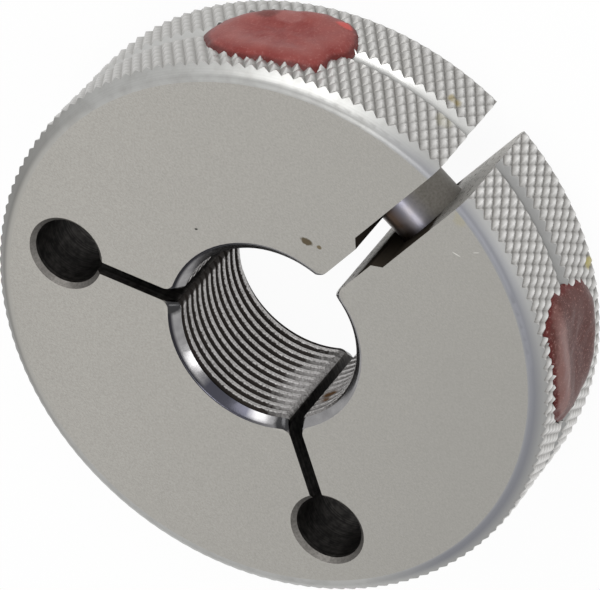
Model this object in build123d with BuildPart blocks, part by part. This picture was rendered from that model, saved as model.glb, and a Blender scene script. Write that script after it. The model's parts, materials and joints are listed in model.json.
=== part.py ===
from build123d import *
from math import hypot, sqrt
import os

# An adjustable thread ring gauge, not-go member: a knurled steel ring, split through one side and
# relieved by two slots, so that a locking device across the split can set and hold its thread size.
# The ring lies flat: its axis is +Z, its back face is at Z = 0, and the split runs along +X.

# --- Ring blank (millimetres) ---
rim_diameter = 66.68           # over the points of the knurl
thickness = 17.46              # face to face
edge_chamfer = 1.35            # 45 degree bevel between each face and the rim
edge_softening = 1.6           # radius that rolls each face into its bevel

# --- Not-go groove, turned round the rim with sloping sides ---
groove_width = 2.5             # across its mouth
groove_floor_width = 0.7
groove_depth = 0.72
groove_offset = -0.28          # of its middle from the ring's mid height

# --- Threaded bore ---
thread_minor_diameter = 21.13  # over the crests of the internal thread
mouth_bevel = 1.0              # 45 degree bevel from each face down to the crests
mouth_break = 0.12             # drop of the small flat that breaks the edge between bevel and face

# --- The split: narrow at the bore, wide at the rim ---
split_narrow_width = 2.38
split_wide_width = 4.37
shoulder_setback = 3.15        # from the locking device's axis in to the full width

# --- Adjusting slots, each ending in a terminal hole ---
relief_angles = (121, -120)    # degrees from the split
relief_width = 1.59
terminal_hole_diameter = 7.94
terminal_hole_chamfer = 0.53
terminal_hole_inset = 8.69     # of the hole's centre, inside the rim

# --- Corners where the split and the slots open into the thread ---
corner_rounding = 1.1          # from the bore round into a slot's wall

# --- Locking device, on a chord across the split at mid height ---
lock_inset = 11.44             # of the device's axis, inside the rim
sleeve_diameter = 8.4
sleeve_length = 16.0
sleeve_end_chamfer = 0.4
adjusting_screw_diameter = 9.53
locking_screw_diameter = 4.76
locking_screw_reach = 7.0      # into the adjusting screw
locking_head_diameter = 8.6
locking_head_height = 4.2
screw_end_chamfer = 0.5
driver_slot_width = 1.4
driver_slot_depth = 1.6

# --- Wax seals over the two screws ---
seal_pocket_diameter = 11.1
seal_pocket_depth = 7.14       # from the rim down to the screws, along the device's axis
seal_overrun = 0.65            # how far the wax runs out over the knurl, round its pocket
seal_proud = 0.5               # how far the wax stands off the rim

# --- Clearances, each on the radius or between faces ---
sleeve_clearance = 0.03        # sleeve in the ring
adjusting_clearance = 0.05     # adjusting screw in its tapped hole
thread_clearance = 0.04        # locking screw in the adjusting screw
shank_clearance = 0.27         # locking screw through the ring and the sleeve
head_clearance = 0.3           # locking screw's head in its counterbore
seal_clearance = 0.04          # wax to steel
cutter_overrun = 2.0           # how far a cut runs past the metal

# --- Values that follow ---
rim_radius = rim_diameter / 2
face_radius = rim_radius - edge_chamfer
crest_radius = thread_minor_diameter / 2
mouth_radius = crest_radius + mouth_bevel
mid_height = thickness / 2
groove_height = mid_height + groove_offset
groove_half = groove_width / 2
groove_floor_half = groove_floor_width / 2
groove_radius = rim_radius - groove_depth
corner_end = mouth_radius + 2 * corner_rounding
break_radius = mouth_radius + mouth_break * sqrt(2)
terminal_hole_centre = rim_radius - terminal_hole_inset

lock_radius = rim_radius - lock_inset
lock_plane = Plane(origin=(lock_radius, 0, mid_height), x_dir=(1, 0, 0), z_dir=(0, 1, 0))
sleeve_end = sleeve_length / 2
pocket_floor = sqrt(rim_radius**2 - lock_radius**2) - seal_pocket_depth
head_seat = pocket_floor - locking_head_height
shank_hole = locking_screw_diameter / 2 + shank_clearance
pocket_radius = seal_pocket_diameter / 2


def bore_outline(radius, height):
    """The bore and the inner ends of its slots at one height, with their corners rounded."""
    with BuildSketch(Plane.XY.offset(height)) as outline:
        Circle(radius)
        Rectangle(corner_end, split_narrow_width, align=(Align.MIN, Align.CENTER))
        with Locations(*(Rotation(0, 0, angle) for angle in relief_angles)):
            Rectangle(corner_end, relief_width, align=(Align.MIN, Align.CENTER))
        corners = outline.vertices().filter_by(lambda v: abs(hypot(v.X, v.Y) - radius) < 0.001)
        fillet(corners, corner_rounding)
    return outline.sketch


def rim_disc(radius, mode):
    """A disc on the ring's axis, as thick as the ring."""
    Cylinder(radius, thickness, align=(Align.CENTER, Align.CENTER, Align.MIN), mode=mode)


def lock_cylinder(radius, near, far, mode):
    """A cylinder on the locking device's axis, between two distances from the split's middle."""
    with Locations(lock_plane.offset(near)):
        Cylinder(radius, far - near, align=(Align.CENTER, Align.CENTER, Align.MIN), mode=mode)


def rims_of(part, radius):
    """A part's circular edges of one radius."""
    return part.edges().filter_by(GeomType.CIRCLE).filter_by(lambda e: abs(e.radius - radius) < 0.001)


os.makedirs("parts", exist_ok=True)

# --- Slot outlines, drawn along +X and turned into place when the ring is cut ---
with BuildSketch() as split_outline:
    with BuildLine() as split_half:
        narrow = split_narrow_width / 2
        wide = split_wide_width / 2
        shoulder = lock_radius - shoulder_setback
        Polyline(
            (0, 0),
            (0, narrow),
            (shoulder - (wide - narrow), narrow),
            (shoulder, wide),
            (rim_radius + cutter_overrun, wide),
            (rim_radius + cutter_overrun, 0),
        )
        mirror(about=Plane.XZ)
    make_face()

with BuildSketch() as relief_outline:
    Rectangle(terminal_hole_centre, relief_width, align=(Align.MIN, Align.CENTER))

# --- Bore outlines at each end: where the bevel meets the crests, where it ends, and at the face ---
mouth_steps = (
    (crest_radius, mouth_bevel),
    (mouth_radius - mouth_break, mouth_break),
    (break_radius, 0),
)
back_mouth = [bore_outline(radius, depth) for radius, depth in mouth_steps]
front_mouth = [bore_outline(radius, thickness - depth) for radius, depth in mouth_steps]

# --- Ring body: a turned blank, then its terminal holes, slots, bore and the locking device's bores ---
with BuildPart() as ring_body:
    with BuildSketch(Plane.XZ) as blank_section:
        with BuildLine() as blank_outline:
            Polyline(
                (0, 0),
                (face_radius, 0),
                (rim_radius, edge_chamfer),
                (rim_radius, groove_height - groove_half),
                (groove_radius, groove_height - groove_floor_half),
                (groove_radius, groove_height + groove_floor_half),
                (rim_radius, groove_height + groove_half),
                (rim_radius, thickness - edge_chamfer),
                (face_radius, thickness),
                (0, thickness),
                close=True,
            )
        make_face()
        face_corners = blank_section.vertices().filter_by(lambda v: abs(v.X - face_radius) < 0.001)
        fillet(face_corners, edge_softening)
    revolve(axis=Axis.Z)

    with Locations(*(Vector(terminal_hole_centre, 0).rotate(Axis.Z, a) for a in relief_angles)):
        Hole(terminal_hole_diameter / 2)
    chamfer(rims_of(ring_body, terminal_hole_diameter / 2), terminal_hole_chamfer)

    with BuildSketch() as slots:
        add(split_outline.sketch)
        for angle in relief_angles:
            add(relief_outline.sketch, rotation=angle)
    extrude(amount=thickness, mode=Mode.SUBTRACT)

    extrude(back_mouth[0], amount=thickness - 2 * mouth_bevel, mode=Mode.SUBTRACT)
    for mouth in (back_mouth, front_mouth):
        loft(sections=mouth, ruled=True, mode=Mode.SUBTRACT)

    lock_cylinder(sleeve_diameter / 2 + sleeve_clearance, -sleeve_end, sleeve_end, Mode.SUBTRACT)
    tapped_hole = adjusting_screw_diameter / 2 + adjusting_clearance
    lock_cylinder(tapped_hole, sleeve_end, pocket_floor, Mode.SUBTRACT)
    lock_cylinder(shank_hole, -head_seat, -sleeve_end, Mode.SUBTRACT)
    head_hole = locking_head_diameter / 2 + head_clearance
    lock_cylinder(head_hole, -pocket_floor, -head_seat, Mode.SUBTRACT)
    lock_cylinder(pocket_radius, pocket_floor, rim_radius, Mode.SUBTRACT)
    lock_cylinder(pocket_radius, -rim_radius, -pocket_floor, Mode.SUBTRACT)

# --- Sleeve: bridges the split and keeps the two halves of the ring in line ---
with BuildPart() as sleeve:
    lock_cylinder(sleeve_diameter / 2, -sleeve_end, sleeve_end, Mode.ADD)
    lock_cylinder(shank_hole, -sleeve_end, sleeve_end, Mode.SUBTRACT)
    chamfer(rims_of(sleeve, sleeve_diameter / 2), sleeve_end_chamfer)

# --- Adjusting screw: hollow, bears on the sleeve's end and spreads the split ---
with BuildPart() as adjusting_screw:
    lock_cylinder(adjusting_screw_diameter / 2, sleeve_end, pocket_floor, Mode.ADD)
    chamfer(rims_of(adjusting_screw, adjusting_screw_diameter / 2), screw_end_chamfer)
    nut_radius = locking_screw_diameter / 2 + thread_clearance
    lock_cylinder(nut_radius, sleeve_end, pocket_floor, Mode.SUBTRACT)
    with BuildSketch(lock_plane.offset(pocket_floor)) as adjusting_driver_slot:
        Rectangle(adjusting_screw_diameter, driver_slot_width)
    extrude(amount=-driver_slot_depth, mode=Mode.SUBTRACT)

# --- Locking screw: from the other side, through the sleeve and into the adjusting screw ---
with BuildPart() as locking_screw:
    lock_cylinder(locking_head_diameter / 2, -pocket_floor, -head_seat, Mode.ADD)
    lock_cylinder(locking_screw_diameter / 2, -head_seat, sleeve_end + locking_screw_reach, Mode.ADD)
    ends = locking_screw.faces().filter_by(Axis.Y).sort_by(Axis.Y)
    chamfer(ends[0].edges() + ends[-1].edges(), screw_end_chamfer)
    with BuildSketch(lock_plane.offset(-pocket_floor)) as locking_driver_slot:
        Rectangle(locking_head_diameter, driver_slot_width)
    extrude(amount=driver_slot_depth, mode=Mode.SUBTRACT)

# --- Wax seals: each fills its pocket and runs out a little way over the knurl ---
seals = []
for label, near, far in (
    ("adjusting_screw_seal", pocket_floor + seal_clearance, rim_radius),
    ("locking_screw_seal", -rim_radius, -pocket_floor - seal_clearance),
):
    with BuildPart() as seal:
        lock_cylinder(pocket_radius + seal_overrun, near, far, Mode.ADD)
        rim_disc(rim_radius + seal_clearance, Mode.SUBTRACT)
        lock_cylinder(pocket_radius - seal_clearance, near, far, Mode.ADD)
        rim_disc(rim_radius + seal_proud, Mode.INTERSECT)
    seal.part.label = label
    seals.append(seal.part)

ring_body.part.label = "ring_body"
sleeve.part.label = "sleeve"
adjusting_screw.part.label = "adjusting_screw"
locking_screw.part.label = "locking_screw"

for piece in (ring_body.part, sleeve.part, adjusting_screw.part, locking_screw.part, *seals):
    export_step(piece, f"parts/{piece.label}.step")
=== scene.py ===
# %% [markdown]
# # A thread ring gauge
# A ring gauge is a hardened steel ring with a very exact thread in its bore. An inspector tries it on a
# screw: the not-go ring, which has a groove round its rim, must not run on. This lesson dresses the plain
# CAD part: it cuts the knurl and the thread as real geometry, pours the sealing wax, and builds each
# finish from nodes. Lengths are written in millimetres and multiplied by mm, because Blender is in metres.

import json
from math import atan2, cos, exp, hypot, pi, radians, sin

import bmesh
import bpy
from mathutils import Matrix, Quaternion, Vector, noise


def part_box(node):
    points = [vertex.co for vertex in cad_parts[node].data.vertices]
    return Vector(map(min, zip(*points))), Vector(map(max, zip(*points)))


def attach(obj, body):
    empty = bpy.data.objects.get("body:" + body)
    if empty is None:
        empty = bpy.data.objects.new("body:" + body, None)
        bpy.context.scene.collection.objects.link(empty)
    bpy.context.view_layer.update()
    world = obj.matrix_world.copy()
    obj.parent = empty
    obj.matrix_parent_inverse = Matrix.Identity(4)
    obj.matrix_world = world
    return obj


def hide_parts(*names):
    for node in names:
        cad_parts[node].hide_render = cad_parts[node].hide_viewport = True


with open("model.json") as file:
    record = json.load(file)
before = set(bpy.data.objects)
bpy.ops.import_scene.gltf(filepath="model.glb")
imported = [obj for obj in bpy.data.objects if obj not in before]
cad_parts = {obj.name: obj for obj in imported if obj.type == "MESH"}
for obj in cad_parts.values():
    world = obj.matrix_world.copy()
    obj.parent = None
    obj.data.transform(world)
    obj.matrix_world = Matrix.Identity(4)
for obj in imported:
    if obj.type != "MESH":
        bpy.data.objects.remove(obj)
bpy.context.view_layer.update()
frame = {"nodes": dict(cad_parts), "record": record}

mm = 0.001
body = "root"
ring_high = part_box("ring_body")[1]
rim_radius = ring_high.y
thickness = ring_high.z
mounts = {mount["name"]: mount for mount in frame["record"]["mounts"]}
crest_radius = mounts["gauging_thread"]["dims"]["r_mm"] * mm
for label, length in (("rim radius", rim_radius), ("thickness", thickness), ("crest radius", crest_radius)):
    print(f"{label} {length / mm:.3f} mm")

# %% [markdown]
# ## The camera
# A long lens from over half a metre flattens the ring as a catalogue view does. The camera is placed by
# its bearing round the ring, its height and its distance. It is then rolled about its own line of sight,
# so that the ring, which lies flat here, looks as if it stood on its rim.

# %% Camera
camera_target = Vector((0.7, 0.1, 8.73)) * mm
camera_distance = 584.6 * mm
camera_azimuth = radians(8.10)
camera_elevation = radians(50.68)
camera_roll = radians(-139.2)
sensor_width = 36.0
frame_width_px = 600
focal_length_px = 5263.5


def bearing(azimuth, elevation):
    """A unit vector from two angles in radians: round from +X, and up from the floor."""
    return Vector((cos(elevation) * cos(azimuth), cos(elevation) * sin(azimuth), sin(elevation)))


to_camera = bearing(camera_azimuth, camera_elevation)
camera = bpy.data.objects.new("camera", bpy.data.cameras.new("camera"))
camera.data.sensor_fit = "HORIZONTAL"
camera.data.sensor_width = sensor_width
camera.data.lens = sensor_width * focal_length_px / frame_width_px
camera.data.clip_start = 0.01
camera.data.clip_end = 20
camera.location = camera_target + to_camera * camera_distance
camera.rotation_mode = "QUATERNION"
camera.rotation_quaternion = to_camera.to_track_quat("Z", "Y") @ Quaternion((0, 0, 1), camera_roll)
bpy.context.scene.collection.objects.link(camera)
bpy.context.scene.camera = camera
print(f"lens {camera.data.lens:.0f} mm, camera at {[round(c / mm) for c in camera.location]} mm")

# %% [markdown]
# ## Helpers for materials
# A web colour such as #A8A49D is written in sRGB, but Blender's sockets take linear light, so one
# function converts it. Another adds one node, sets it and wires it up. It takes a hex colour as it is
# written, and a node where that node's first output is meant, so a finish reads as a list of its steps.

# %% Material helpers
def colour(hex_code):
    """An sRGB hex colour as linear red, green, blue and alpha, by the standard's own curve."""
    channels = [int(hex_code[i:i + 2], 16) / 255 for i in (1, 3, 5)]
    return [c / 12.92 if c <= 0.04045 else ((c + 0.055) / 1.055) ** 2.4 for c in channels] + [1.0]


def add_node(tree, kind, inputs=None, **settings):
    """Adds a node. settings are its options; inputs are values, hex colours, outputs or whole nodes."""
    node = tree.nodes.new("ShaderNode" + kind)
    for option, value in settings.items():
        setattr(node, option, value)
    for socket, value in (inputs or {}).items():
        if isinstance(value, bpy.types.Node):
            value = value.outputs[0]
        if isinstance(value, bpy.types.NodeSocket):
            tree.links.new(value, node.inputs[socket])
        else:
            node.inputs[socket].default_value = colour(value) if isinstance(value, str) else value
    return node


def new_material(name):
    """An empty material, its node tree and its Object coordinates."""
    material = bpy.data.materials.new(name)
    material.use_nodes = True
    tree = material.node_tree
    tree.nodes.clear()
    place = add_node(tree, "TexCoord").outputs["Object"]
    return material, tree, place


# %% [markdown]
# ## A white studio
# Polished steel has no colour of its own: it shows what is round it. In a white light tent it shows
# white, so its base colour renders as it is written. Light Path tells the floor and the world which rays
# come from the camera or from a reflection, and those see plain white, with a trace of shadow on the
# floor. The other rays see a softer light, so that the lamps can still model the form.

# %% World
tent_strength = 0.62
backdrop_strength = 1.0

world = bpy.data.worlds.new("light_tent")
bpy.context.scene.world = world
world.use_nodes = True
sky = world.node_tree
sky.nodes.clear()


def seen_directly(tree):
    """1 for rays that come from the camera, a reflection or through something clear, and 0 for others."""
    ray = add_node(tree, "LightPath").outputs
    mirrored = {0: ray["Is Glossy Ray"], 1: ray["Is Transmission Ray"]}
    direct = {0: ray["Is Camera Ray"], 1: add_node(tree, "Math", mirrored, operation="MAXIMUM")}
    return add_node(tree, "Math", direct, operation="MAXIMUM")


tent = add_node(sky, "Background", {"Color": "#FFFFFF", "Strength": tent_strength})
backdrop = add_node(sky, "Background", {"Color": "#FFFFFF", "Strength": backdrop_strength})
sky_mix = add_node(sky, "MixShader", {0: seen_directly(sky), 1: tent, 2: backdrop})
add_node(sky, "OutputWorld", {"Surface": sky_mix})
print("light tent:", len(sky.nodes), "nodes")

# %% Floor
floor_size = 6.0
shadow_share = 0.05

floor_paint, tree, place = new_material("matt_white_floor_paint")
matt = add_node(tree, "BsdfDiffuse", {"Color": "#F2F2F1"})
white = add_node(tree, "Emission", {"Color": "#FFFFFF", "Strength": backdrop_strength})
faintly_shaded = add_node(tree, "MixShader", {0: shadow_share, 1: white, 2: matt})
floor_mix = add_node(tree, "MixShader", {0: seen_directly(tree), 1: matt, 2: faintly_shaded})
add_node(tree, "OutputMaterial", {"Surface": floor_mix})

bm = bmesh.new()
bmesh.ops.create_grid(bm, x_segments=1, y_segments=1, size=floor_size / 2)
floor_mesh = bpy.data.meshes.new("floor")
bm.to_mesh(floor_mesh)
bm.free()
floor = bpy.data.objects.new("floor", floor_mesh)
floor.data.materials.append(floor_paint)
bpy.context.scene.collection.objects.link(floor)
print(f"floor: {floor_size} m square")

# %% [markdown]
# ## Soft lamps
# Each lamp is a square panel aimed at the ring, and each is placed for one reflection. A bevel or a tube
# mirrors only what lies in one direction, so the panel's bearing is found by mirroring the camera's line
# of sight in the surface that should shine: the key for the upper bevel, the side panel for the bevel
# round the thread, the top panel for the sleeve, and the front panel for the knurl.

# %% Lamps
def soft_panel(name, azimuth, elevation, distance, width, power):
    """An area lamp that faces the ring from a bearing and a height, both in degrees."""
    lamp = bpy.data.lights.new(name, "AREA")
    lamp.shape = "SQUARE"
    lamp.size = width
    lamp.energy = power
    direction = bearing(radians(azimuth), radians(elevation))
    panel = bpy.data.objects.new(name, lamp)
    panel.location = camera_target + direction * distance
    panel.rotation_mode = "QUATERNION"
    panel.rotation_quaternion = direction.to_track_quat("Z", "Y")
    bpy.context.scene.collection.objects.link(panel)
    print(f"{name}: {power} W, {width:.2f} m wide")


soft_panel("key_panel", azimuth=52, elevation=35, distance=0.60, width=0.30, power=1.05)
soft_panel("side_panel", azimuth=-33, elevation=36, distance=0.60, width=0.16, power=0.42)
soft_panel("top_panel", azimuth=-135, elevation=83, distance=0.60, width=0.16, power=0.6)
soft_panel("front_panel", azimuth=36, elevation=8, distance=0.70, width=0.22, power=1.1)

# %% [markdown]
# ## Places on the ring, for its finishes
# Dirt, wear, heat colours and painted light and shade follow the form, so the finishes ask where a point
# lies: how far it is from the ring's axis, which tells a valley from a point, how far it lies towards the
# locking screw's side, and whether it is in an oval mark, whose edge is made ragged with noise. Stains and
# painted patches are such marks.

# %% Where a point lies
locking_side = (0.67, -0.74, 0)
mark_grain = 0.45 * mm
mark_outside = 1.15
mark_inside = 0.75


def axis_distance(tree, place):
    """How far a point is from the ring's axis."""
    level = add_node(tree, "VectorMath", {0: place, 1: (1, 1, 0)}, operation="MULTIPLY")
    return add_node(tree, "VectorMath", {0: level}, operation="LENGTH").outputs["Value"]


def across(tree, place):
    """How far a point lies from the ring's middle towards the locking screw's side."""
    return add_node(tree, "VectorMath", {0: place, 1: locking_side}, operation="DOT_PRODUCT").outputs["Value"]


def mark(tree, place, centre, size, turn=0.0, ragged=0.6):
    """1 inside a ragged oval mark and 0 outside it. centre and half sizes are in millimetres."""
    oval = add_node(tree, "Mapping", {
        "Vector": place,
        "Location": [c * mm for c in centre],
        "Rotation": (0, 0, radians(turn)),
        "Scale": [s * mm for s in size],
    }, vector_type="TEXTURE")
    reach = add_node(tree, "VectorMath", {0: oval}, operation="LENGTH").outputs["Value"]
    uneven = add_node(tree, "TexNoise", {"Vector": place, "Scale": 1 / mark_grain, "Detail": 4.0})
    edge = add_node(tree, "Math", {0: uneven, 1: ragged, 2: reach}, operation="MULTIPLY_ADD")
    return add_node(tree, "MapRange", {
        "Value": edge,
        "From Min": mark_outside + ragged / 2,
        "From Max": mark_inside + ragged / 2,
    })


def stain_and_painted_patch(tree, place, base, hex_code, centre, size, strength=1.0, turn=0.0, ragged=0.6):
    """Lays a mark of one colour over a base colour."""
    inside = mark(tree, place, centre, size, turn, ragged)
    amount = add_node(tree, "Math", {0: inside, 1: strength}, operation="MULTIPLY")
    return add_node(tree, "MixRGB", {"Fac": amount, "Color1": base, "Color2": hex_code})


def on_rim(angle, height):
    """The point of the rim at an angle in degrees from the split and a height, in millimetres."""
    return (rim_radius / mm * cos(radians(angle)), rim_radius / mm * sin(radians(angle)), height)


# %% [markdown]
# ## Ground faces
# Both faces are surface ground: the wheel leaves fine straight scratches, all one way, that turn a
# mirror into a satin grey. The real scratches are a few hundredths of a millimetre wide, so they are
# drawn several times as wide to show at all. The face is painted darker towards the locking side, as
# painted shade, and is duller in random patches. A few stains, a dot of dirt and two scratches are kept.

# %% Ground steel
grain_width = 0.11 * mm
grain_turn = radians(38)
grain_stretch = 0.45
scratch_depth = 0.006 * mm
wander_width = 9.0 * mm
wander_strength = 0.35

ground_steel, tree, place = new_material("surface_ground_tool_steel")
along = add_node(tree, "Mapping", {
    "Vector": place,
    "Rotation": (0, 0, grain_turn),
    "Scale": (1, grain_stretch, 1),
})
grain = add_node(tree, "TexNoise", {"Vector": along, "Scale": 1 / grain_width, "Detail": 2.0})
wander = add_node(tree, "TexNoise", {"Vector": place, "Scale": 1 / wander_width, "Detail": 4.0})
# Painted shade: the face is painted darker towards the locking side, on top of random duller patches.
painted_side_shade = add_node(tree, "MapRange", {"Value": across(tree, place), "From Min": -22 * mm, "From Max": 30 * mm})
dulled = add_node(tree, "Math", {0: wander, 1: wander_strength, 2: painted_side_shade}, operation="MULTIPLY_ADD")
wander_and_side_shade = add_node(tree, "MapRange", {"Value": dulled, "From Min": 0.1, "From Max": 1.9})
satin = add_node(tree, "MixRGB", {"Fac": grain, "Color1": "#898782", "Color2": "#B9B6B0"})
base = add_node(tree, "MixRGB", {"Fac": wander_and_side_shade, "Color1": satin, "Color2": "#878682"})
for hex_code, centre, size, turn, strength in (
    ("#4A3F2A", (13.5, 5.2, 17.46), (0.75, 0.42, 1), 118, 0.9),
    ("#5F5238", (14.25, 3.85, 17.46), (0.3, 0.25, 1), 118, 0.85),
    ("#1C1B1A", (3.4, 13.9, 17.46), (0.2, 0.11, 1), -34, 0.9),
    ("#9A9270", (31.0, -3.3, 17.3), (1.1, 0.8, 1), 20, 0.3),
    ("#D9D7D2", (27.3, -6.0, 17.46), (0.5, 0.05, 1), -70, 0.7),
    ("#D9D7D2", (29.4, -7.2, 17.46), (0.35, 0.04, 1), -34, 0.6),
):
    base = stain_and_painted_patch(tree, place, base, hex_code, centre, size, strength, turn, ragged=0.8)
ground = add_node(tree, "BsdfPrincipled", {
    "Base Color": base,
    "Metallic": 1.0,
    "Roughness": add_node(tree, "MapRange", {"Value": wander, "To Min": 0.36, "To Max": 0.5}),
    "Normal": add_node(tree, "Bump", {"Height": grain, "Strength": 0.25, "Distance": scratch_depth}),
})
add_node(tree, "OutputMaterial", {"Surface": ground})
print(ground_steel.name, len(tree.nodes), "nodes")

# %% [markdown]
# ## Turned edges and the groove
# The bevels and the groove come off a lathe, so they are smoother than the ground faces, and their marks
# run round the ring. On the locking side the bevel is painted darker as shade and is rougher, and the roll
# between it and the face is painted as a darker, bluer line, a painted reflection. On the opposite side the
# bevel is painted darker along its outer edge, as shade. The groove is painted lighter, as painted light,
# beside the adjusting screw.

# %% Turned steel: bare, handled, and painted shade on both sides
lathe_line_width = 0.12 * mm
lathe_line_depth = 0.008 * mm
handling_width = 2.2 * mm

turned_steel, tree, place = new_material("turned_tool_steel")
radius = axis_distance(tree, place)
axes = add_node(tree, "SeparateXYZ", {"Vector": place}).outputs
section = add_node(tree, "CombineXYZ", {"X": radius, "Y": axes["Z"]})
lathe_lines = add_node(tree, "TexNoise", {"Vector": section, "Scale": 1 / lathe_line_width, "Detail": 2.0})
handling = add_node(tree, "TexNoise", {
    "Vector": place,
    "Scale": 1 / handling_width,
    "Detail": 5.0,
    "Roughness": 0.65,
})
handled = add_node(tree, "MapRange", {"Value": handling, "From Min": 0.45, "From Max": 0.95})
bare = add_node(tree, "MixRGB", {"Fac": lathe_lines, "Color1": "#999997", "Color2": "#B2B2B0"})
base = add_node(tree, "MixRGB", {"Fac": handled, "Color1": bare, "Color2": "#8C8B88"})

# Painted shade: on the far side from the locking screw the bevel is painted darker along its outer edge.
edge = add_node(tree, "MapRange", {
    "Value": radius,
    "From Min": rim_radius - 1.7 * mm,
    "From Max": rim_radius - 1.2 * mm,
})
side = across(tree, place)
far_side_shade = add_node(tree, "MapRange", {"Value": side, "From Min": -20 * mm, "From Max": -30 * mm})
far_side_shaded_bevel = add_node(tree, "MixRGB", {"Fac": edge, "Color1": "#A19F9A", "Color2": "#7C7B78"})
base = add_node(tree, "MixRGB", {"Fac": far_side_shade, "Color1": base, "Color2": far_side_shaded_bevel})
# Painted shade: the bevel on the locking side is painted darker; the same mask also makes it rougher.
locking_side_shade = add_node(tree, "MapRange", {"Value": side, "From Min": 12 * mm, "From Max": 22 * mm})
base = add_node(tree, "MixRGB", {"Fac": locking_side_shade, "Color1": base, "Color2": "#969695"})

# %% Turned steel: painted light in the groove and a painted reflection on the roll
# A limit says what it reads, where it is 0 and where it is 1. A zone is where all its limits are 1.
groove_painted_light_limits = (
    (axes["Z"], 4.5 * mm, 5.5 * mm),
    (axes["Z"], thickness - 4.5 * mm, thickness - 5.5 * mm),
    (axes["Y"], -1 * mm, 1 * mm),
    (axes["X"], -25 * mm, -5 * mm),
)
roll_painted_reflection_limits = (
    (radius, rim_radius - 2.2 * mm, rim_radius - 1.75 * mm),
    (radius, rim_radius - 0.5 * mm, rim_radius - 1.3 * mm),
    (axes["Z"], thickness - 4.0 * mm, thickness - 3.0 * mm),
)


def zone(tree, limits, inside=1.0):
    """1 where a point is within every limit, and a ramp to 0 past each of them."""
    for value, low, high in limits:
        limit = add_node(tree, "MapRange", {"Value": value, "From Min": low, "From Max": high})
        inside = add_node(tree, "Math", {0: inside, 1: limit}, operation="MULTIPLY")
    return inside


# Painted light: the groove beside the adjusting screw is painted lighter.
base = add_node(tree, "MixRGB", {"Fac": zone(tree, groove_painted_light_limits), "Color1": base, "Color2": "#BABAB8"})
# Painted reflection: on the locking side the roll between face and bevel is painted a darker, bluer line.
base = add_node(tree, "MixRGB", {"Fac": zone(tree, roll_painted_reflection_limits, locking_side_shade), "Color1": base, "Color2": "#7C7D82"})
turned = add_node(tree, "BsdfPrincipled", {
    "Base Color": base,
    "Metallic": 1.0,
    "Roughness": add_node(tree, "MapRange", {"Value": locking_side_shade, "To Min": 0.4, "To Max": 0.5}),
    "Normal": add_node(tree, "Bump", {"Height": lathe_lines, "Strength": 0.3, "Distance": lathe_line_depth}),
})
add_node(tree, "OutputMaterial", {"Surface": turned})
print(turned_steel.name, len(tree.nodes), "nodes")

# %% [markdown]
# ## Knurled rim
# The knurling wheel squeezes the steel up into points. Handling polishes the points, and the valleys
# keep old oil and dust and are also painted darker as shade, so the colour follows the distance from the
# axis: light at the points and a dull grey in the valleys. Towards the locking side the valleys are painted
# darker as shade and the points lighter as painted highlight.
# Three yellow stains are kept, beside the split and the wax.

# %% Knurled steel
knurl_depth = 0.46 * mm
valley_radius = rim_radius - knurl_depth * 0.95
point_radius = rim_radius - knurl_depth * 0.12
dust_width = 0.3 * mm
dust_strength = 0.55
dust_balance = -0.27

knurled_steel, tree, place = new_material("knurled_tool_steel")
raised = add_node(tree, "MapRange", {
    "Value": axis_distance(tree, place),
    "From Min": valley_radius,
    "From Max": point_radius,
})
dust = add_node(tree, "TexNoise", {"Vector": place, "Scale": 1 / dust_width, "Detail": 4.0, "Roughness": 0.7})
uneven = add_node(tree, "Math", {0: dust, 1: dust_strength, 2: dust_balance}, operation="MULTIPLY_ADD")
polish = add_node(tree, "Math", {0: raised, 1: uneven}, operation="ADD", use_clamp=True)
# Painted shade and highlight: towards the locking side the valleys are painted darker and the points lighter.
painted_locking_contrast = add_node(tree, "MapRange", {"Value": across(tree, place), "From Min": -8 * mm, "From Max": 22 * mm})
valley = add_node(tree, "MixRGB", {"Fac": painted_locking_contrast, "Color1": "#A7A6A3", "Color2": "#82807D"})
point = add_node(tree, "MixRGB", {"Fac": painted_locking_contrast, "Color1": "#C6C5C3", "Color2": "#DAD9D7"})
# Partly painted shade: the valleys are darker for old oil and dust, and also as shade in the recesses.
base = add_node(tree, "MixRGB", {"Fac": polish, "Color1": valley, "Color2": point})
for hex_code, centre, size, strength in (
    ("#9A8A54", on_rim(10.0, 6.1), (0.9, 0.9, 0.7), 0.6),
    ("#A49C6C", on_rim(9.1, 10.0), (1.1, 1.1, 1.2), 0.2),
    ("#A79B4A", on_rim(-32.6, 1.7), (0.8, 0.8, 0.9), 0.7),
):
    base = stain_and_painted_patch(tree, place, base, hex_code, centre, size, strength, ragged=0.3)
knurled = add_node(tree, "BsdfPrincipled", {
    "Base Color": base,
    "Metallic": 1.0,
    "Roughness": add_node(tree, "MapRange", {"Value": polish, "To Min": 0.55, "To Max": 0.33}),
})
add_node(tree, "OutputMaterial", {"Surface": knurled})
print(knurled_steel.name, len(tree.nodes), "nodes")

# %% [markdown]
# ## Lapped thread
# A cast-iron lap polishes the thread's flanks and crests. The crests shine, and the roots, which the
# lap hardly reaches, hold dark oil and are also painted dark as shade. Near one slot the crests are worn
# and speckled, so the dark lines fade there, and one spot of rust is kept.

# %% Lapped steel
speckle_width = 0.22 * mm
speckle_reach = 0.3 * mm
oil_where_worn = 0.45

lapped_steel, tree, place = new_material("lapped_thread_steel")
radius = axis_distance(tree, place)
speckle = add_node(tree, "TexNoise", {
    "Vector": place,
    "Scale": 1 / speckle_width,
    "Detail": 4.0,
    "Roughness": 0.7,
})
ragged = add_node(tree, "Math", {0: speckle, 1: speckle_reach, 2: radius}, operation="MULTIPLY_ADD")
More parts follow.
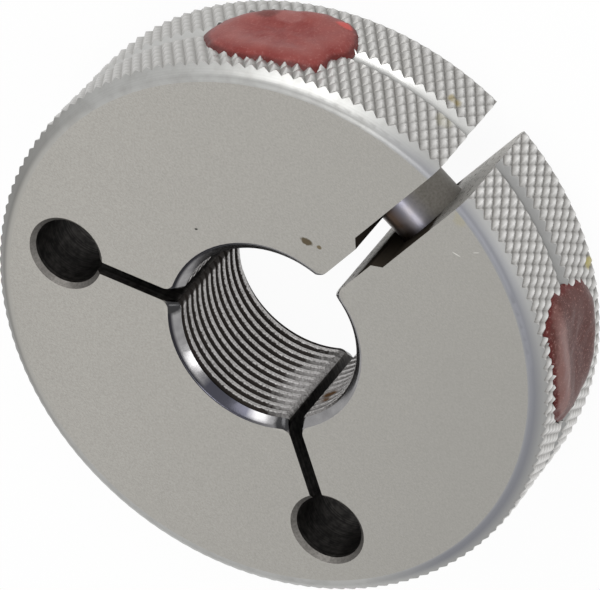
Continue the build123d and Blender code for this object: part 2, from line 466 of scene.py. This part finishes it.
# Partly painted shade: the roots are darkened for oil, and also for the shade down in them.
oil_and_root_shade = add_node(tree, "MapRange", {
    "Value": ragged,
    "From Min": crest_radius + 0.17 * mm,
    "From Max": crest_radius + 0.25 * mm,
})
worn = mark(tree, place, (-4.2, -9.9, 9.5), (6.0, 5.0, 9.5), ragged=0.5)
faded = add_node(tree, "MapRange", {"Value": worn, "To Min": 1.0, "To Max": oil_where_worn})
oil = add_node(tree, "Math", {0: oil_and_root_shade, 1: faded}, operation="MULTIPLY")
speckled = add_node(tree, "MapRange", {"Value": speckle, "From Min": 0.42, "From Max": 0.66})
crest = add_node(tree, "MixRGB", {"Fac": speckled, "Color1": "#B4B2B1", "Color2": "#7C7977"})
base = add_node(tree, "MixRGB", {"Fac": oil, "Color1": crest, "Color2": "#24211F"})
base = stain_and_painted_patch(tree, place, base, "#4C3826", (-3.0, -10.6, 12.6), (1.1, 1.1, 1.3), ragged=0.4)
lapped = add_node(tree, "BsdfPrincipled", {
    "Base Color": base,
    "Metallic": 1.0,
    "Roughness": add_node(tree, "MapRange", {"Value": speckle, "To Min": 0.22, "To Max": 0.42}),
})
add_node(tree, "OutputMaterial", {"Surface": lapped})
print(lapped_steel.name, len(tree.nodes), "nodes")

# %% [markdown]
# ## The thread's mouth
# The bevel that leads into the thread is polished. Its base colour is painted dark, as painted reflection,
# and a darker, bluer patch is painted between the two long glints of the side panel and the key. Its outer
# lip is painted as a dark line on one side, as painted shade, and it is smudged where the slots open into it.

# %% Polished steel
haze_width = 1.6 * mm

mouth_steel, tree, place = new_material("polished_mouth_steel")
haze = add_node(tree, "TexNoise", {"Vector": place, "Scale": 1 / haze_width, "Detail": 4.0})
# Painted reflection: the bevel's base colour is kept dark for the dark surroundings it would mirror.
bevel = add_node(tree, "MixRGB", {"Fac": haze, "Color1": "#6E6D6F", "Color2": "#A4A3A3"})
# Painted shade: a dark line along the outer lip, on the side away from the locking screw.
lip_painted_shade_limits = (
    (axis_distance(tree, place), crest_radius + 0.65 * mm, crest_radius + 0.9 * mm),
    (across(tree, place), 3 * mm, -4 * mm),
)
base = add_node(tree, "MixRGB", {"Fac": zone(tree, lip_painted_shade_limits), "Color1": bevel, "Color2": "#2C2C30"})
# Painted reflection: the first mark is the darker, bluer stretch between the two glints; the other two are
# smudges where the slots open.
for hex_code, centre, size, ragged in (
    ("#46464E", (-10.4, -2.9, 17.0), (2.6, 3.6, 3.0), 0.15),
    ("#3A3A3B", (-6.8, 9.1, 17.2), (1.2, 1.2, 2.5), 0.3),
    ("#3A3A3B", (-6.6, -8.9, 17.2), (1.2, 1.2, 2.5), 0.3),
):
    base = stain_and_painted_patch(tree, place, base, hex_code, centre, size, ragged=ragged)
polished = add_node(tree, "BsdfPrincipled", {"Base Color": base, "Metallic": 1.0, "Roughness": 0.2})
add_node(tree, "OutputMaterial", {"Surface": polished})
print(mouth_steel.name, len(tree.nodes), "nodes")

# %% [markdown]
# ## Slots and holes
# The walls of the slots and holes are painted near black, as painted shade deep inside them, with faint
# tool marks. The countersinks round the terminal holes were cut after hardening and are a rough grey.

# %% Slot walls, painted shade
scale_width = 0.8 * mm
tool_mark_width = 0.35 * mm

slot_shade_steel, tree, place = new_material("slot_wall_painted_shade")
height = add_node(tree, "SeparateXYZ", {"Vector": place}).outputs["Z"]
depth = add_node(tree, "CombineXYZ", {"X": height})
# Painted shade: the walls are painted near black for the shade deep in the slots and holes, mottled with
# faint tool marks.
scale = add_node(tree, "TexNoise", {"Vector": place, "Scale": 1 / scale_width, "Detail": 4.0})
tool_marks = add_node(tree, "TexNoise", {"Vector": depth, "Scale": 1 / tool_mark_width, "Detail": 3.0})
both = add_node(tree, "Math", {0: scale, 1: tool_marks}, operation="MULTIPLY")
mottled = add_node(tree, "MapRange", {"Value": both, "From Min": 0.18, "From Max": 0.42})
base = add_node(tree, "MixRGB", {"Fac": mottled, "Color1": "#2A2827", "Color2": "#5E5B58"})
blackened = add_node(tree, "BsdfPrincipled", {"Base Color": base, "Metallic": 1.0, "Roughness": 0.5})
add_node(tree, "OutputMaterial", {"Surface": blackened})
print(slot_shade_steel.name, len(tree.nodes), "nodes")

# %% Countersunk steel
chatter_width = 0.3 * mm

countersunk_steel, tree, place = new_material("countersunk_tool_steel")
chatter = add_node(tree, "TexNoise", {
    "Vector": place,
    "Scale": 1 / chatter_width,
    "Detail": 4.0,
    "Roughness": 0.7,
})
base = add_node(tree, "MixRGB", {"Fac": chatter, "Color1": "#353331", "Color2": "#827F7B"})
countersunk = add_node(tree, "BsdfPrincipled", {"Base Color": base, "Metallic": 1.0, "Roughness": 0.5})
add_node(tree, "OutputMaterial", {"Surface": countersunk})
print(countersunk_steel.name, len(tree.nodes), "nodes")

# %% [markdown]
# ## The split's walls
# The outer walls of the split were sawn after hardening, and are bare steel with flecks of dirt. Towards
# the sleeve the wall is covered with dirt and painted shadow from the sleeve, and the edge where it ends
# leans outwards towards the front face. Dirt is no metal, so it is a shader of its own, and it paints that
# shadow too.

# %% Sawn steel
grit_width = 0.45 * mm
grit_stretch = 0.5
sleeve_shade_reach = 3.0 * mm
sleeve_shade_lean = 0.3

sawn_steel, tree, place = new_material("sawn_tool_steel")
tall = add_node(tree, "Mapping", {"Vector": place, "Scale": (1, 1, grit_stretch)})
grit = add_node(tree, "TexNoise", {"Vector": tall, "Scale": 1 / grit_width, "Detail": 5.0, "Roughness": 0.75})
saw_marks = add_node(tree, "MixRGB", {"Fac": grit, "Color1": "#A19F9B", "Color2": "#D3D1CD"})
bare = add_node(tree, "BsdfPrincipled", {"Base Color": saw_marks, "Metallic": 1.0, "Roughness": 0.6})
dirt = add_node(tree, "BsdfDiffuse", {"Color": "#332E28"})

# Painted shadow: near the sleeve the wall turns to the dark dirt shader, partly dirt and partly the sleeve's
# shadow.
outward = add_node(tree, "SeparateXYZ", {"Vector": place}).outputs["X"]
tilted = {0: place, 1: (1, 0, -sleeve_shade_lean)}
leaning = add_node(tree, "VectorMath", tilted, operation="DOT_PRODUCT").outputs["Value"]
inner_edge = add_node(tree, "Math", {0: grit, 1: sleeve_shade_reach, 2: outward}, operation="MULTIPLY_ADD")
outer_edge = add_node(tree, "Math", {0: grit, 1: sleeve_shade_reach, 2: leaning}, operation="MULTIPLY_ADD")
sleeve_shade_and_dirt = zone(tree, ((inner_edge, 15.8 * mm, 17.2 * mm), (outer_edge, 23.6 * mm, 22.8 * mm)))
flecks = add_node(tree, "MapRange", {"Value": grit, "From Min": 0.56, "From Max": 0.61})
flecks_and_sleeve_shade = add_node(tree, "Math", {0: flecks, 1: sleeve_shade_and_dirt}, operation="MAXIMUM")
sawn = add_node(tree, "MixShader", {0: flecks_and_sleeve_shade, 1: bare, 2: dirt})
add_node(tree, "OutputMaterial", {"Surface": sawn})
print(sawn_steel.name, len(tree.nodes), "nodes")

# %% Finishes of the ring, in order
ring_finishes = [ground_steel, turned_steel, knurled_steel, lapped_steel, mouth_steel, slot_shade_steel,
                 sawn_steel, countersunk_steel]
GROUND, TURNED, KNURLED, LAPPED, POLISHED, SLOT_SHADE, SAWN, COUNTERSUNK = range(len(ring_finishes))
print("finishes of the ring:", len(ring_finishes))

# %% [markdown]
# ## The ring, sorted by finish
# The CAD ring already has its slots, holes, groove and bores in the right places, so the visual ring
# starts as a merged copy of it. Its rim is plain at the knurl's points and its bore is plain at the
# thread's crests: both are the full metal that the two tools below cut into. Each face is given the
# finish of the tool that made it, from where it lies and which way it looks.

# %% Ring copy
merge_distance = 0.0001 * mm
edge_reach = 3.0 * mm
mouth_reach = 1.5 * mm
split_half_width = 2.3 * mm
level_limit = 0.999
sloping_limit = 0.1
bore_limit = -0.45


def merged_copy(node):
    """A CAD node's mesh as a bmesh, with its loose triangles joined."""
    bm = bmesh.new()
    bm.from_mesh(frame["nodes"][node].data)
    bmesh.ops.remove_doubles(bm, verts=bm.verts, dist=merge_distance)
    return bm


def finish_of(face):
    """Which tool made a face of the ring, from where it lies and which way it looks."""
    centre = face.calc_center_median()
    radius = hypot(centre.x, centre.y)
    outward = (face.normal.x * centre.x + face.normal.y * centre.y) / radius
    if abs(face.normal.z) > level_limit:
        return GROUND
    if outward > 0 and radius > rim_radius - edge_reach:
        return TURNED
    if radius < crest_radius + mouth_reach and abs(face.normal.z) > sloping_limit:
        return POLISHED
    if radius < crest_radius + mouth_reach and outward < bore_limit:
        return LAPPED
    if abs(face.normal.z) > sloping_limit:
        return COUNTERSUNK
    if centre.x > 0 and abs(centre.y) < split_half_width:
        return SAWN
    return SLOT_SHADE


ring_bm = merged_copy("ring_body")
for face in ring_bm.faces:
    face.material_index = finish_of(face)
print("ring copy:", len(ring_bm.faces), "faces,", sum(not e.is_manifold for e in ring_bm.edges), "open edges")

# %% [markdown]
# ## Tools that cut
# The thread, the knurl and the wax are made with booleans: a tool is built as a closed shape, and is cut
# away from a piece, joined to it, or sets what is kept of it. The cut faces take the finish of the tool.
# Bent faces are split into flat triangles first, because a boolean leaves folded slivers in a bent one.

# %% Pieces and cuts
def new_piece(bm, name, finishes):
    """Turns a bmesh into a shown object at the origin."""
    mesh = bpy.data.meshes.new(name)
    bm.to_mesh(mesh)
    bm.free()
    for finish in finishes:
        mesh.materials.append(finish)
    piece = bpy.data.objects.new(name, mesh)
    bpy.context.scene.collection.objects.link(piece)
    return piece


def flatten_faces(bm):
    """Splits every face into flat triangles, across its shorter diagonal."""
    bmesh.ops.triangulate(bm, faces=bm.faces[:], quad_method="SHORT_EDGE")


def carve(piece, tool, operation):
    """Applies a boolean between a piece and a tool, and removes the tool."""
    modifier = piece.modifiers.new("carve", "BOOLEAN")
    modifier.object = tool
    modifier.operation = operation
    modifier.solver = "MANIFOLD"
    modifier.material_mode = "INDEX"
    depsgraph = bpy.context.evaluated_depsgraph_get()
    carved = bpy.data.meshes.new_from_object(piece.evaluated_get(depsgraph))
    if carved.materials and carved.materials[-1] is None:
        carved.materials.pop()
    piece.modifiers.remove(modifier)
    piece.data = carved
    bpy.data.objects.remove(tool)


# %% [markdown]
# ## The knurl
# A diamond knurl is two sets of slanting V-grooves rolled into the rim, which leave rows of small
# pyramids. On an unrolled rim the pyramids and the crossings of the grooves alternate like the squares of
# a chessboard. So the tool is a drum of plain quads, half a repeat apart each way: every quad is split
# from crossing to crossing, and the points are then lifted. One roll bit less deeply than the other, so
# the middles of its grooves are raised, and the pyramids run together into ridges. The points reach a
# little past the rim, which leaves a small flat on each, as handling does.

# %% Drum of plain quads
knurl_count = 144
knurl_repeat = 2.51 * mm
drum_overrun = 1.0 * mm

drum_bm = bmesh.new()
column_angle = 2 * pi / (2 * knurl_count)
row_height = knurl_repeat / 2
row_count = round((thickness + 2 * drum_overrun) / row_height)
root_radius = rim_radius - knurl_depth
bmesh.ops.create_circle(drum_bm, segments=2 * knurl_count, radius=root_radius)
bmesh.ops.translate(drum_bm, verts=drum_bm.verts, vec=(0, 0, -drum_overrun))
edge_loop = drum_bm.edges[:]
for _ in range(row_count):
    grown = bmesh.ops.extrude_edge_only(drum_bm, edges=edge_loop)["geom"]
    new_row = [v for v in grown if isinstance(v, bmesh.types.BMVert)]
    bmesh.ops.translate(drum_bm, verts=new_row, vec=(0, 0, row_height))
    edge_loop = [e for e in grown if isinstance(e, bmesh.types.BMEdge)]
print("drum:", row_count, "rows of", 2 * knurl_count, "quads")

# %% Points lifted between the crossings
knurl_flat = 0.02 * mm


def is_point(vert):
    """True at a pyramid's point, and false where two grooves cross."""
    column = round(atan2(vert.co.y, vert.co.x) / column_angle)
    row = round((vert.co.z + drum_overrun) / row_height)
    return (column + row) % 2 == 0


points = [v for v in drum_bm.verts if is_point(v)]
crossings = [v for v in drum_bm.verts if not is_point(v)]
diagonals = bmesh.ops.connect_verts(drum_bm, verts=crossings)["edges"]
lift = (rim_radius + knurl_flat) / root_radius
bmesh.ops.scale(drum_bm, verts=points, vec=(lift, lift, 1))
print("knurl:", len(points), "points,", len(crossings), "crossings")

# %% Ridges left by the shallower roll
saddle_share = 0.46


def on_second_roll(edge):
    """True for a groove of the shallower roll, which climbs as it goes round anticlockwise."""
    first, second = (vert.co for vert in edge.verts)
    round_step = first.x * second.y - first.y * second.x
    return round_step * (second.z - first.z) > 0


shallow = [edge for edge in diagonals if on_second_roll(edge)]
parted = bmesh.ops.subdivide_edges(drum_bm, edges=shallow, cuts=1)["geom_inner"]
saddles = [v for v in parted if isinstance(v, bmesh.types.BMVert)]
saddle_radius = root_radius + saddle_share * knurl_depth
for vert in saddles:
    spread = saddle_radius / hypot(vert.co.x, vert.co.y)
    vert.co.x *= spread
    vert.co.y *= spread
bmesh.ops.holes_fill(drum_bm, edges=[e for e in drum_bm.edges if e.is_boundary])
bmesh.ops.recalc_face_normals(drum_bm, faces=drum_bm.faces)
flatten_faces(drum_bm)
for face in drum_bm.faces:
    face.material_index = KNURLED
print("knurled drum:", len(saddles), "saddles,", len(drum_bm.faces), "faces")

# %% [markdown]
# ## The thread
# A thread is one V-shaped section carried round a helix. The spin operator does both at once: it turns
# the section about the axis and, with a small step along it, climbs one pitch each turn. The result is a
# long coil that cuts the groove out of the bore. It starts a little inside the crests, so that no skin of
# metal is left between its turns and the bore.

# %% Thread coil
pitch = 1.27 * mm
groove_mouth = 0.86 * mm
groove_root = 0.09 * mm
thread_depth = 0.545 * mm
coil_reach = 0.2 * mm
steps_per_turn = 90

flank_slope = (groove_mouth - groove_root) / 2 / thread_depth
turns = int((thickness + 2 * drum_overrun) / pitch) + 1
coil_bm = bmesh.new()
section = [
    (crest_radius - coil_reach, -(groove_mouth / 2 + coil_reach * flank_slope)),
    (crest_radius + thread_depth, -groove_root / 2),
    (crest_radius + thread_depth, groove_root / 2),
    (crest_radius - coil_reach, groove_mouth / 2 + coil_reach * flank_slope),
]
corners = [coil_bm.verts.new((radius, 0, height - drum_overrun)) for radius, height in section]
profile = coil_bm.faces.new(corners)
bmesh.ops.spin(coil_bm, geom=[profile], cent=(0, 0, 0), axis=(0, 0, 1), dvec=(0, 0, pitch / steps_per_turn),
               angle=2 * pi * turns, steps=steps_per_turn * turns, use_duplicate=False)
bmesh.ops.holes_fill(coil_bm, edges=[e for e in coil_bm.edges if e.is_boundary])
bmesh.ops.recalc_face_normals(coil_bm, faces=coil_bm.faces)
flatten_faces(coil_bm)
for face in coil_bm.faces:
    face.material_index = LAPPED
print("thread coil:", turns, "turns,", len(coil_bm.faces), "faces,",
      sum(not e.is_manifold for e in coil_bm.edges), "open edges")

# %% [markdown]
# ## Cutting the ring
# The coil is cut away from the ring, and of what is left only the metal inside the drum is kept. The
# finish of each face comes along, so the new flanks are lapped and the new pyramids are knurled.

# %% Cut the thread and the knurl
ring = new_piece(ring_bm, "gauge_ring", ring_finishes)
carve(ring, new_piece(coil_bm, "thread_coil", []), "DIFFERENCE")
carve(ring, new_piece(drum_bm, "knurled_drum", []), "INTERSECT")
finish_count = [0] * len(ring_finishes)
for polygon in ring.data.polygons:
    finish_count[polygon.material_index] += 1
print("carved ring:", len(ring.data.polygons), "faces, by finish", finish_count)

# %% [markdown]
# ## Crisp edges and smooth bends
# The carved mesh is shaded smooth, and every edge that bends by more than 24 degrees is kept sharp. Turned
# metal is the exception: a form tool leaves the groove as one shallow dish, so it is shaded as a bend.
# Weighted normals then let the big flat faces win over the small bends beside them, which stops soft
# smears across the ground face.

# %% Ring shading
sharp_angle = radians(24)
dish_angle = radians(50)


def shade(piece, sharp, bend=None):
    """Smooth shading with sharp edges. bend is a second limit, for edges inside turned metal."""
    bm = bmesh.new()
    bm.from_mesh(piece.data)
    for face in bm.faces:
        face.smooth = True
    for edge in bm.edges:
        turned = bend and all(face.material_index == TURNED for face in edge.link_faces)
        edge.smooth = edge.is_manifold and edge.calc_face_angle(pi) < (bend if turned else sharp)
    print(piece.name, "has", sum(not edge.smooth for edge in bm.edges), "sharp edges")
    bm.to_mesh(piece.data)
    bm.free()
    weighted = piece.modifiers.new("weighted_normals", "WEIGHTED_NORMAL")
    weighted.keep_sharp = True


shade(ring, sharp_angle, dish_angle)
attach(ring, body)
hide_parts("ring_body")

# %% [markdown]
# ## The locking device
# The sleeve is the only part of it that shows, as a dark polished tube across the split. It was
# hardened and let down in oil, which tints it brown, and blue where it ran hotter. Its outer side has
# lost its polish. The two screws are chemically blackened, and lie under the wax.

# %% Sleeve
tint_width = 2.0 * mm
dull_width = 0.3 * mm

sleeve_steel, tree, place = new_material("oil_tempered_steel")
outward = add_node(tree, "SeparateXYZ", {"Vector": place}).outputs["X"]
tint = add_node(tree, "TexNoise", {"Vector": place, "Scale": 1 / tint_width, "Detail": 2.0})
grit = add_node(tree, "TexNoise", {"Vector": place, "Scale": 1 / dull_width, "Detail": 5.0, "Roughness": 0.7})
hotter = add_node(tree, "MapRange", {"Value": outward, "From Min": 20.8 * mm, "From Max": 22.4 * mm})
blued = add_node(tree, "MixRGB", {"Fac": hotter, "Color1": "#524236", "Color2": "#68676F"})
tinted = add_node(tree, "MapRange", {"Value": tint, "From Min": 0.4, "From Max": 0.9})
tempered = add_node(tree, "MixRGB", {"Fac": tinted, "Color1": blued, "Color2": "#75706E"})
dull = add_node(tree, "MixRGB", {"Fac": grit, "Color1": "#55514C", "Color2": "#8F8C86"})
dulled = add_node(tree, "MapRange", {"Value": outward, "From Min": 23.2 * mm, "From Max": 24.8 * mm})
hardened = add_node(tree, "BsdfPrincipled", {
    "Base Color": add_node(tree, "MixRGB", {"Fac": dulled, "Color1": tempered, "Color2": dull}),
    "Metallic": 1.0,
    "Roughness": add_node(tree, "MapRange", {"Value": dulled, "To Min": 0.32, "To Max": 0.5}),
})
add_node(tree, "OutputMaterial", {"Surface": hardened})
print(sleeve_steel.name, len(tree.nodes), "nodes")

# %% Screws
bloom_width = 1.0 * mm

screw_steel, tree, place = new_material("black_oxide_steel")
bloom = add_node(tree, "TexNoise", {"Vector": place, "Scale": 1 / bloom_width, "Detail": 3.0})
base = add_node(tree, "MixRGB", {"Fac": bloom, "Color1": "#2B2B2C", "Color2": "#474748"})
oxidised = add_node(tree, "BsdfPrincipled", {"Base Color": base, "Metallic": 1.0, "Roughness": 0.45})
add_node(tree, "OutputMaterial", {"Surface": oxidised})


def dress(node, finish):
    """Gives a CAD node a finish of its own."""
    mesh = frame["nodes"][node].data
    mesh.materials.clear()
    mesh.materials.append(finish)
    print(node, "dressed in", finish.name)


dress("sleeve", sleeve_steel)
dress("adjusting_screw", screw_steel)
dress("locking_screw", screw_steel)

# %% [markdown]
# ## Sealing wax, its finish
# Red sealing wax is shellac and resin with a powdered pigment. It sets with a soft sheen. Where it was
# pressed thick it is paler and a little chalky, and where it ran thin into the knurl it is a deep red.
# So its colour follows its height off the rim, with clouding a few millimetres wide and fine specks. The
# locking screw's wax has browned with age, and holds most of the specks.

# %% Wax finish
cloud_width = 2.4 * mm
speck_width = 0.3 * mm
speck_depth = 0.05 * mm
chalk_share = 0.65

sealing_wax, tree, place = new_material("red_sealing_wax")
radius = axis_distance(tree, place)
cloud = add_node(tree, "TexNoise", {
    "Vector": place,
    "Scale": 1 / cloud_width,
    "Detail": 3.0,
    "Roughness": 0.6,
})
specks = add_node(tree, "TexNoise", {
    "Vector": place,
    "Scale": 1 / speck_width,
    "Detail": 3.0,
    "Roughness": 0.7,
})
clouded = add_node(tree, "MapRange", {"Value": cloud, "From Min": 0.35, "From Max": 0.68})
base = add_node(tree, "MixRGB", {"Fac": clouded, "Color1": "#702B28", "Color2": "#803B36"})
thick = add_node(tree, "MapRange", {
    "Value": radius,
    "From Min": rim_radius + 0.25 * mm,
    "From Max": rim_radius + 0.6 * mm,
})
chalky = add_node(tree, "Math", {0: thick, 1: chalk_share}, operation="MULTIPLY")
base = add_node(tree, "MixRGB", {"Fac": chalky, "Color1": base, "Color2": "#8A504B"})
for hex_code, centre, size, strength in (
    ("#AC4743", on_rim(35.4, 4.6), (1.0, 1.0, 0.6), 1.0),
    ("#4C1E18", on_rim(50.5, 5.2), (1.6, 1.6, 1.2), 0.6),
    ("#9A6A66", on_rim(45.6, 5.6), (1.7, 1.7, 1.1), 0.35),
    ("#3F211B", on_rim(-45.0, 9.0), (12.0, 12.0, 9.0), 0.8),
    ("#84605B", on_rim(-46.5, 12.6), (8.5, 8.5, 1.7), 0.75),
):
    base = stain_and_painted_patch(tree, place, base, hex_code, centre, size, strength, ragged=0.5)
thin = add_node(tree, "MapRange", {
    "Value": radius,
    "From Min": rim_radius + 0.12 * mm,
    "From Max": rim_radius - 0.12 * mm,
})
base = add_node(tree, "MixRGB", {"Fac": thin, "Color1": base, "Color2": "#541A17"})

# %% Wax finish: its specks and its sheen
frosted = add_node(tree, "MapRange", {
    "Value": across(tree, place),
    "From Min": 0,
    "From Max": 25 * mm,
    "To Min": 0.14,
    "To Max": 0.38,
})
speckled = add_node(tree, "MapRange", {"Value": specks, "From Min": 0.56, "From Max": 0.68})
dusted = add_node(tree, "Math", {0: speckled, 1: frosted}, operation="MULTIPLY")
waxy = add_node(tree, "BsdfPrincipled", {
    "Base Color": add_node(tree, "MixRGB", {"Fac": dusted, "Color1": base, "Color2": "#BC928C"}),
    "Roughness": 0.42,
    "Specular IOR Level": 0.22,
    "Normal": add_node(tree, "Bump", {"Height": specks, "Strength": 0.5, "Distance": speck_depth}),
})
add_node(tree, "OutputMaterial", {"Surface": waxy})
print(sealing_wax.name, len(tree.nodes), "nodes")

# %% [markdown]
# ## Sealing wax, its outline and height
# A stick of wax is melted over each screw, fills the pocket and is pressed down with a thumb, which
# leaves a dish with a raised lip. The outline is drawn on the unrolled rim by a few corner points. The
# height depends on how far out a point lies, from 0 at the middle to 1 at the outline, with soft lumps
# and a few crumbs. Heights are in millimetres.

# %% Wax outline
def outline_of(middle, corners):
    """A seal's corners as bearings and reaches from its middle. Places are degrees and millimetres."""
    outline = []
    for angle, height in corners:
        sideways = radians(angle - middle[0]) * rim_radius
        up = (height - middle[1]) * mm
        outline.append((atan2(up, sideways) % (2 * pi), hypot(sideways, up)))
    return sorted(outline)


def reach_at(outline, angle):
    """How far the outline lies from its middle at an angle, eased from corner to corner."""
    for (first, near), (second, far) in zip(outline, outline[1:] + outline[:1]):
        span = (second - first) % (2 * pi)
        step = (angle - first) % (2 * pi)
        if step <= span:
            ease = step / span
            return near + (far - near) * ease * ease * (3 - 2 * ease)


# %% Wax height
dish_height = 0.1
lip_height = 0.42
lip_at = 0.68
lip_inner_width = 0.3
lip_outer_width = 0.2
edge_from = 0.8
edge_drop = 0.62
lumps_per_degree = 0.45
lumps_per_mm = 0.8
lump_height = 0.10
lump_layer = 3.0
small_lump_scale = 3.1
small_lump_height = 0.05
square_mm_per_square_degree = 0.34


def wax_height(out, angle, height, crumbs):
    """The wax's height off the rim: a dish, a lip and a thin edge, with lumps and a few crumbs."""
    lip_width = lip_outer_width if out > lip_at else lip_inner_width
    lip = lip_height * exp(-((out - lip_at) / lip_width) ** 2)
    edge = edge_drop * max(0.0, (out - edge_from) / (1 - edge_from)) ** 2
    lumps = Vector((angle * lumps_per_degree, height * lumps_per_mm, lump_layer))
    bumpy = lump_height * noise.noise(lumps) + small_lump_height * noise.noise(lumps * small_lump_scale)
    crumb = 0.0
    for crumb_angle, crumb_place, wide, tall in crumbs:
        gap = (angle - crumb_angle) ** 2 * square_mm_per_square_degree + (height - crumb_place) ** 2
        crumb += tall * exp(-gap / wide ** 2)
    return (dish_height + lip - edge + bumpy + crumb) * mm


# %% [markdown]
# ## Sealing wax, poured
# A disc made with the spin operator is given a thickness, stretched out to the outline and wrapped round
# the rim. At its edge it sinks below the knurl's points, so the knurl itself gives the wax its ragged
# border. The CAD plug that fills the pocket is joined on below, and the ring is then carved out of it.

# %% Wax disc
wax_rings = 26
wax_spokes = 150
wax_skin = 1.2 * mm
centre_gap = 1e-5
smooth_reach = 0.9
smooth_rounds = 8
smooth_factor = 0.5


def wax_disc():
    """A disc of rings and spokes, one unit in radius and one unit thick."""
    disc = bmesh.new()
    spoke = [disc.verts.new((i / wax_rings, 0, 0)) for i in range(wax_rings + 1)]
    edges = [disc.edges.new(pair) for pair in zip(spoke, spoke[1:])]
    bmesh.ops.spin(disc, geom=spoke + edges, cent=(0, 0, 0), axis=(0, 0, 1), angle=2 * pi,
                   steps=wax_spokes, use_merge=True, use_duplicate=False)
    bmesh.ops.remove_doubles(disc, verts=disc.verts, dist=centre_gap)
    bmesh.ops.recalc_face_normals(disc, faces=disc.faces)
    bmesh.ops.solidify(disc, geom=disc.faces[:], thickness=1.0)
    return disc


def wrap_on_rim(disc, middle, outline, crumbs):
    """Stretches a disc to an outline and wraps it round the rim, with a smoothed middle."""
    level = sum(v.co.z for v in disc.verts) / len(disc.verts)
    inner = []
    for vert in disc.verts:
        out = hypot(vert.co.x, vert.co.y)
        turn = atan2(vert.co.y, vert.co.x) % (2 * pi)
        stretch = reach_at(outline, turn) * out
        angle = radians(middle[0]) + stretch * cos(turn) / rim_radius
        height = middle[1] * mm + stretch * sin(turn)
        on_top = vert.co.z > level
        lift = wax_height(out, angle * 180 / pi, height / mm, crumbs) if on_top else -wax_skin
        vert.co = Vector(((rim_radius + lift) * cos(angle), (rim_radius + lift) * sin(angle), height))
        if out < smooth_reach:
            inner.append(vert)
    for _ in range(smooth_rounds):
        bmesh.ops.smooth_vert(disc, verts=inner, factor=smooth_factor, use_axis_x=True, use_axis_y=True,
                              use_axis_z=True)
    bmesh.ops.recalc_face_normals(disc, faces=disc.faces)
    flatten_faces(disc)


# %% Wax seal
plug_top = 0.75 * mm
trim_segments = 180
wax_crease = radians(40)


def pocket_plug(node):
    """The CAD plug of a seal, trimmed to just below the rim."""
    trim_bm = bmesh.new()
    trim_radius = rim_radius - plug_top
    bmesh.ops.create_cone(trim_bm, cap_ends=True, segments=trim_segments, radius1=trim_radius,
                          radius2=trim_radius, depth=4 * thickness)
    plug = new_piece(merged_copy(node), "plug", [])
    carve(plug, new_piece(trim_bm, "trim", []), "INTERSECT")
    return plug


def pour_wax(name, node, middle, corners, crumbs):
    """A wax seal over one screw. Places on the rim are an angle in degrees and a height in millimetres."""
    wax_bm = wax_disc()
    wrap_on_rim(wax_bm, middle, outline_of(middle, corners), crumbs)
    wax = new_piece(wax_bm, name, [sealing_wax])
    carve(wax, pocket_plug(node), "UNION")
    steel_copy = bpy.data.objects.new("steel_copy", ring.data.copy())
    bpy.context.scene.collection.objects.link(steel_copy)
    carve(wax, steel_copy, "DIFFERENCE")
    for polygon in wax.data.polygons:
        polygon.material_index = 0
    wax.data.materials.clear()
    wax.data.materials.append(sealing_wax)
    shade(wax, wax_crease)
    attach(wax, body)
    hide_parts(node)
    print(name, len(wax.data.polygons), "faces")


# %% Both seals
pour_wax("adjusting_wax", "adjusting_screw_seal", middle=(45.0, 8.6), corners=[
    (61.3, 8.7), (60.0, 6.6), (57.4, 5.0), (53.9, 4.0), (49.4, 3.4), (45.6, 3.0), (41.9, 2.6),
    (38.5, 2.5), (35.5, 2.9), (32.4, 4.1), (30.6, 6.4), (30.4, 9.0), (32.4, 10.6), (33.4, 13.9),
    (38.9, 14.6), (44.6, 14.6), (48.9, 14.9), (54.1, 13.8), (58.2, 12.0),
], crumbs=[(35.2, 4.1, 0.55, 0.35), (34.0, 5.2, 0.4, -0.2)])
pour_wax("locking_wax", "locking_screw_seal", middle=(-44.0, 8.8), corners=[
    (-33.3, 4.3), (-32.2, 6.5), (-30.9, 9.4), (-30.2, 12.4), (-32.4, 14.1), (-34.9, 15.6), (-37.4, 14.9),
    (-43.7, 14.7), (-49.5, 13.9), (-54.7, 13.2), (-58.0, 11.8), (-60.2, 10.1), (-58.8, 7.5), (-56.5, 5.0),
    (-52.7, 3.3), (-47.4, 2.7), (-42.3, 2.5), (-37.7, 2.7), (-35.4, 3.4),
], crumbs=[(-39.0, 5.0, 1.4, 0.12)])

# %% [markdown]
# ## Plain colours
# The Standard view keeps the base colours as they were written.

# %% Colour management
bpy.context.scene.view_settings.view_transform = "Standard"
